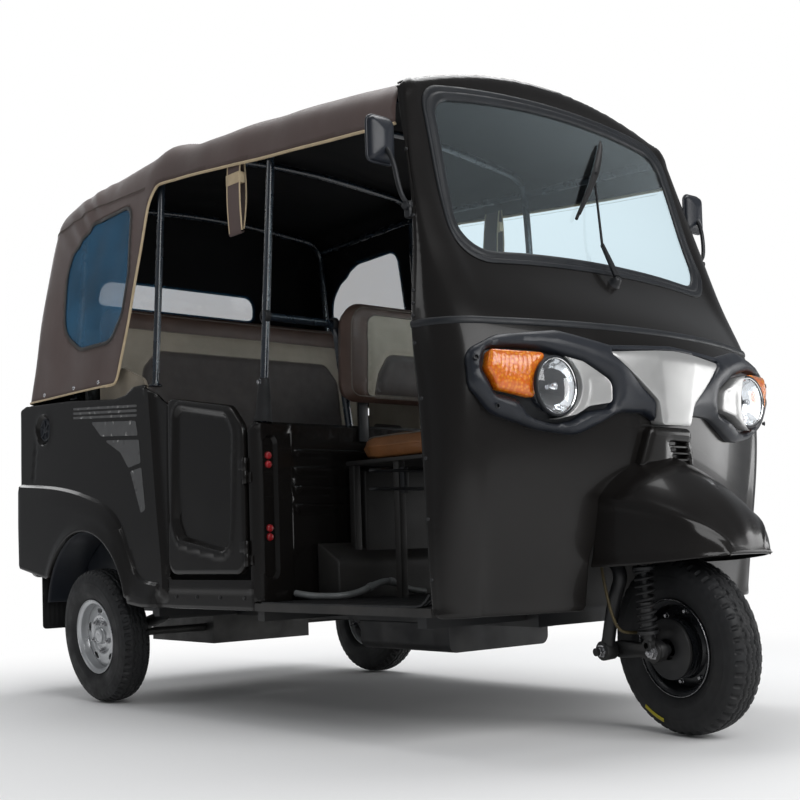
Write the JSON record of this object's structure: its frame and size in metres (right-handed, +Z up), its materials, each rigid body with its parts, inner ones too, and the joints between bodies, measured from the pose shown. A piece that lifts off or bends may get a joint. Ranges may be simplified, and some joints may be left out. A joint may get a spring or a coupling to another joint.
{
  "type": "passenger auto rickshaw",
  "caption": "Passenger auto rickshaw with a rounded cowl, a single steered front wheel, half doors, a bench seat and a cloth canopy.",
  "frame": {"origin": "middle of the outline box at ground level", "axes": "+Z up, the front faces -Y, the vehicle's left side is at +X"},
  "size_m": [1.5056, 3.0802, 2.062],
  "materials": {
    "body_paint": "glossy dark charcoal brown paint",
    "trim_black": "matte blue black trim",
    "silver": "satin silver paint",
    "glass": "clear screen glass",
    "seal": "black rubber",
    "lamp": "clear lens over a bright bowl",
    "amber": "amber lens",
    "red_lens": "red lens",
    "black_metal": "black chassis paint",
    "frame_paint": "dark blue black tube paint",
    "floor_paint": "worn dark floor",
    "cloth": "brown canopy cloth",
    "film": "clear flexible window film",
    "seat_brown": "brown and beige seat cover",
    "tan": "tan seat cover",
    "tyre": "black tyre rubber",
    "rim_silver": "silver wheel paint",
    "rim_black": "black wheel paint",
    "engine_metal": "dark cast metal",
    "rubber": "black rubber sheet",
    "cable": "black cable"
  },
  "bodies": {
    "vehicle": {"lower_cowl": "body_paint", "upper_cowl": "body_paint", "windscreen_seal": "seal", "windscreen": "glass", "headlamp_fascia": "trim_black", "centre_panel": "silver", "turn_signal_right": "amber", "turn_signal_left": "amber", "headlamp_right": "lamp", "headlamp_left": "lamp", "nose_vent": "body_paint", "front_mudguard": "body_paint", "mirror_right": "trim_black", "mirror_left": "trim_black", "wiper": "black_metal", "floor_pan": "floor_paint", "chassis_frame": "black_metal", "partition": "body_paint", "tube_frame": "frame_paint", "driver_seat_base": "floor_paint", "driver_seat_cushion": "tan", "driver_backrest": "seat_brown", "rear_bulkhead": "floor_paint", "passenger_cushion": "seat_brown", "passenger_backrest": "seat_brown", "dashboard": "trim_black", "quarter_panel_right": "body_paint", "quarter_panel_left": "body_paint", "rear_panel": "body_paint", "rear_bumper": "trim_black", "tail_lamp_right": "red_lens", "tail_lamp_left": "red_lens", "mudflap_right": "rubber", "mudflap_left": "rubber", "canopy": "cloth", "quarter_window_right": "film", "quarter_window_left": "film", "rear_window": "film", "trailing_arm_right": "black_metal", "trailing_arm_left": "black_metal", "engine_block": "engine_metal", "fuel_tank": "black_metal"},
    "steering": {"steering_fork": "black_metal", "link_arm": "black_metal", "front_shock": "black_metal", "handlebar": "black_metal", "brake_cable": "cable"},
    "front_wheel": {"front_tyre": "tyre", "front_rim": "rim_black"},
    "rear_wheel_right": {"rear_tyre_right": "tyre", "rear_rim_right": "rim_silver"},
    "rear_wheel_left": {"rear_tyre_left": "tyre", "rear_rim_left": "rim_silver"},
    "door_right": {"door_right": "body_paint"},
    "door_left": {"door_left": "body_paint"},
    "rear_hatch": {"rear_hatch": "body_paint"}
  },
  "joints": [
    {"name": "steering", "type": "hinge", "parent": "vehicle", "child": "steering", "pos_m": [0, -1.362, 0], "axis": [0, 0.4067, 0.9135], "range_deg": [-24.4, 45.6]},
    {"name": "front_wheel_spin", "type": "hinge", "parent": "steering", "child": "front_wheel", "pos_m": [-0.00688, -1.29142, 0.24891], "axis": [0.9829, -0.168, 0.0748], "continuous": true},
    {"name": "rear_wheel_right_spin", "type": "hinge", "parent": "vehicle", "child": "rear_wheel_right", "pos_m": [-0.655, 0.868, 0.24895], "axis": [0.9969, 0, 0.0785], "continuous": true},
    {"name": "rear_wheel_left_spin", "type": "hinge", "parent": "vehicle", "child": "rear_wheel_left", "pos_m": [0.655, 0.868, 0.24895], "axis": [0.9969, 0, -0.0785], "continuous": true},
    {"name": "door_right_hinge", "type": "hinge", "parent": "vehicle", "child": "door_right", "pos_m": [-0.696, -0.14, 0.7], "axis": [0, 0, 1], "range_deg": [0, 85]},
    {"name": "door_left_hinge", "type": "hinge", "parent": "vehicle", "child": "door_left", "pos_m": [0.696, -0.14, 0.7], "axis": [0, 0, -1], "range_deg": [0, 85]},
    {"name": "rear_hatch_hinge", "type": "hinge", "parent": "vehicle", "child": "rear_hatch", "pos_m": [0, 1.518, 0.964], "axis": [1, 0, 0], "range_deg": [0, 90]}
  ]
}
